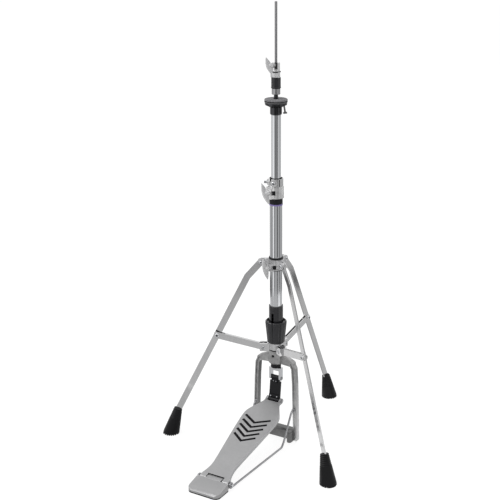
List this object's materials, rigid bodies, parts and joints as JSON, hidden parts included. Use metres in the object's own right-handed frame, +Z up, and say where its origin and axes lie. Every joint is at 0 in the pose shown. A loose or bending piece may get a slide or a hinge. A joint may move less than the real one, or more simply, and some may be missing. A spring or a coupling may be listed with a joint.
{
  "type": "hi-hat stand",
  "caption": "Hi-hat stand with folding tripod, height-set column, sprung foot pedal with strap drive, pull rod, tilting cymbal seat and clutch; cymbals not included",
  "frame": {"origin": "on the floor, on the column's axis, in the underside of the base bar", "axes": "+Z up along the column, -Y towards the heel of the pedal, +X to the player's left-hand side seen from the front"},
  "size_m": [0.4851, 0.6034, 1.0377],
  "materials": {
    "chrome": "bright plated",
    "satin_casting": "satin plated die casting",
    "satin_steel": "satin plated pressed steel",
    "pedal_alloy": "bead blasted casting",
    "grey_casting": "rough casting",
    "black_plastic": "moulded, fine grain",
    "gloss_black": "glossy moulded",
    "rubber": "matt moulded",
    "felt": "pressed wool felt",
    "violet_plastic": "moulded",
    "dark_steel": "drawn bar"
  },
  "bodies": {
    "stand": {"lower_tube": "chrome", "clamp_bush": "black_plastic", "tint_ring": "violet_plastic", "height_clamp": "satin_casting", "tension_sleeve": "black_plastic", "spider": "satin_steel", "spider_bolts": "chrome", "frame_casting": "grey_casting", "base_bar": "grey_casting", "base_pads": "grey_casting", "set_screw": "dark_steel", "rod_bush": "black_plastic", "radius_rods": "chrome", "heel_plate": "pedal_alloy", "heel_mat": "rubber", "hinge_pin": "chrome"},
    "upper_tube": {"upper_tube": "chrome", "tube_guide": "black_plastic", "memory_lock": "satin_casting", "seat_sleeve": "gloss_black", "seat_neck": "gloss_black", "seat_cup": "gloss_black"},
    "key_bolt": {"key_bolt": "chrome"},
    "seat": {"tilt_plate": "gloss_black", "lower_felt": "felt", "upper_felt": "felt"},
    "tilter": {"tilter_screw": "chrome"},
    "clutch": {"clutch_body": "satin_casting", "clutch_tube": "chrome", "clutch_sleeve": "gloss_black", "lock_nut": "satin_casting"},
    "clutch_nut": {"clutch_nut": "chrome"},
    "clutch_wing": {"clutch_wing": "satin_casting"},
    "height_wing": {"height_wing": "satin_casting"},
    "collar": {"tripod_collar": "satin_casting", "collar_bush": "black_plastic", "leg_pins": "chrome"},
    "collar_wing": {"collar_wing": "satin_casting"},
    "leg_back": {"leg_back": "satin_steel", "foot_back": "rubber"},
    "leg_left": {"leg_left": "satin_steel", "foot_left": "rubber"},
    "leg_right": {"leg_right": "satin_steel", "foot_right": "rubber"},
    "stay_back": {"stay_back": "satin_steel"},
    "stay_left": {"stay_left": "satin_steel"},
    "stay_right": {"stay_right": "satin_steel"},
    "knob": {"tension_knob": "black_plastic"},
    "spring_seat": {"spring_seat": "dark_steel", "return_spring": "dark_steel"},
    "footboard": {"footboard": "pedal_alloy", "toe_pin": "dark_steel"},
    "pull_rod": {"lower_rod": "dark_steel", "upper_rod": "dark_steel", "rod_coupler": "dark_steel", "yoke": "chrome", "yoke_pin": "dark_steel"},
    "strap": {"strap": "black_plastic"}
  },
  "joints": [
    {"name": "tube_height", "type": "slide", "parent": "stand", "child": "upper_tube", "axis": [0, 0, 1], "range_m": [0, 0.06]},
    {"name": "key_bolt_turn", "type": "hinge", "parent": "upper_tube", "child": "key_bolt", "pos_m": [-0.01638, -0.01147, 0.6388], "axis": [-0.8192, -0.5736, 0], "range_deg": [-180, 180]},
    {"name": "tilter_turn", "type": "hinge", "parent": "upper_tube", "child": "tilter", "pos_m": [0.02, 0, 0.8168], "axis": [-0.1736, 0, 0.9848], "range_deg": [0, 1440]},
    {"name": "seat_tilt", "type": "hinge", "parent": "upper_tube", "child": "seat", "pos_m": [-0.0245, 0, 0.8171], "axis": [0, -1, 0], "range_deg": [0, 4]},
    {"name": "clutch_lift", "type": "slide", "parent": "upper_tube", "child": "clutch", "axis": [0, 0, 1], "range_m": [0, 0.06]},
    {"name": "clutch_nut_turn", "type": "hinge", "parent": "clutch", "child": "clutch_nut", "pos_m": [0, 0, 0.844], "axis": [0, 0, 1], "range_deg": [-180, 180]},
    {"name": "clutch_wing_turn", "type": "hinge", "parent": "clutch", "child": "clutch_wing", "pos_m": [-0.00513, -0.01409, 0.9011], "axis": [-0.342, -0.9397, 0], "range_deg": [-180, 180]},
    {"name": "height_wing_turn", "type": "hinge", "parent": "stand", "child": "height_wing", "pos_m": [-0.00787, -0.02161, 0.616], "axis": [-0.342, -0.9397, 0], "range_deg": [-180, 180]},
    {"name": "tripod_fold", "type": "slide", "parent": "stand", "child": "collar", "axis": [0, 0, 1], "range_m": [0, 0.06]},
    {"name": "collar_wing_turn", "type": "hinge", "parent": "collar", "child": "collar_wing", "pos_m": [-0.00629, -0.02523, 0.4385], "axis": [-0.2419, -0.9703, 0], "range_deg": [-180, 180]},
    {"name": "leg_back_pivot", "type": "hinge", "parent": "collar", "child": "leg_back", "pos_m": [0.00182, 0.03465, 0.447], "axis": [-0.9986, 0.0523, 0], "range_deg": [0, 7.59]},
    {"name": "leg_left_pivot", "type": "hinge", "parent": "collar", "child": "leg_left", "pos_m": [-0.03092, -0.01575, 0.447], "axis": [0.454, -0.891, 0], "range_deg": [0, 7.59]},
    {"name": "leg_right_pivot", "type": "hinge", "parent": "collar", "child": "leg_right", "pos_m": [0.0291, -0.0189, 0.447], "axis": [0.5446, 0.8387, 0], "range_deg": [0, 7.59]},
    {"name": "stay_back_pivot", "type": "hinge", "parent": "stand", "child": "stay_back", "pos_m": [0.00157, 0.02996, 0.2342], "axis": [0.9986, -0.0523, 0], "range_deg": [0, 27.56]},
    {"name": "stay_left_pivot", "type": "hinge", "parent": "stand", "child": "stay_left", "pos_m": [-0.02673, -0.01362, 0.2342], "axis": [-0.454, 0.891, 0], "range_deg": [0, 27.56]},
    {"name": "stay_right_pivot", "type": "hinge", "parent": "stand", "child": "stay_right", "pos_m": [0.02516, -0.01634, 0.2342], "axis": [-0.5446, -0.8387, 0], "range_deg": [0, 27.56]},
    {"name": "tension_turn", "type": "hinge", "parent": "stand", "child": "knob", "pos_m": [0, 0, 0.27], "axis": [0, 0, 1], "range_deg": [-540, 540]},
    {"name": "spring_seat_slide", "type": "slide", "parent": "stand", "child": "spring_seat", "axis": [0, 0, 1], "range_m": [-0.00901, 0.00901], "deforming": ["return_spring"]},
    {"name": "pedal", "type": "hinge", "parent": "stand", "child": "footboard", "pos_m": [0, -0.272, 0.0115], "axis": [1, 0, 0], "range_deg": [-10, 0], "stiffness_Nm_per_rad": 9, "springref_deg": 17.19},
    {"name": "rod_slide", "type": "slide", "parent": "stand", "child": "pull_rod", "axis": [0, 0, 1], "range_m": [-0.04722, 0], "deforming": ["return_spring"]},
    {"name": "strap_swing", "type": "hinge", "parent": "pull_rod", "child": "strap", "pos_m": [0, 0, 0.155], "axis": [1, 0, 0], "range_deg": [0, 11.11]}
  ],
  "couplings": [
    {"joint": "leg_back_pivot", "follows": "tripod_fold", "rad_per_m": 2.2057},
    {"joint": "leg_left_pivot", "follows": "tripod_fold", "rad_per_m": 2.2057},
    {"joint": "leg_right_pivot", "follows": "tripod_fold", "rad_per_m": 2.2057},
    {"joint": "stay_back_pivot", "follows": "tripod_fold", "rad_per_m": 8.0136},
    {"joint": "stay_left_pivot", "follows": "tripod_fold", "rad_per_m": 8.0136},
    {"joint": "stay_right_pivot", "follows": "tripod_fold", "rad_per_m": 8.0136},
    {"joint": "seat_tilt", "follows": "tilter_turn", "ratio": 0.002778},
    {"joint": "spring_seat_slide", "follows": "tension_turn", "m_per_rad": 0.00095493},
    {"joint": "rod_slide", "follows": "pedal", "m_per_rad": 0.26996},
    {"joint": "strap_swing", "follows": "pedal", "ratio": -1.1096}
  ]
}
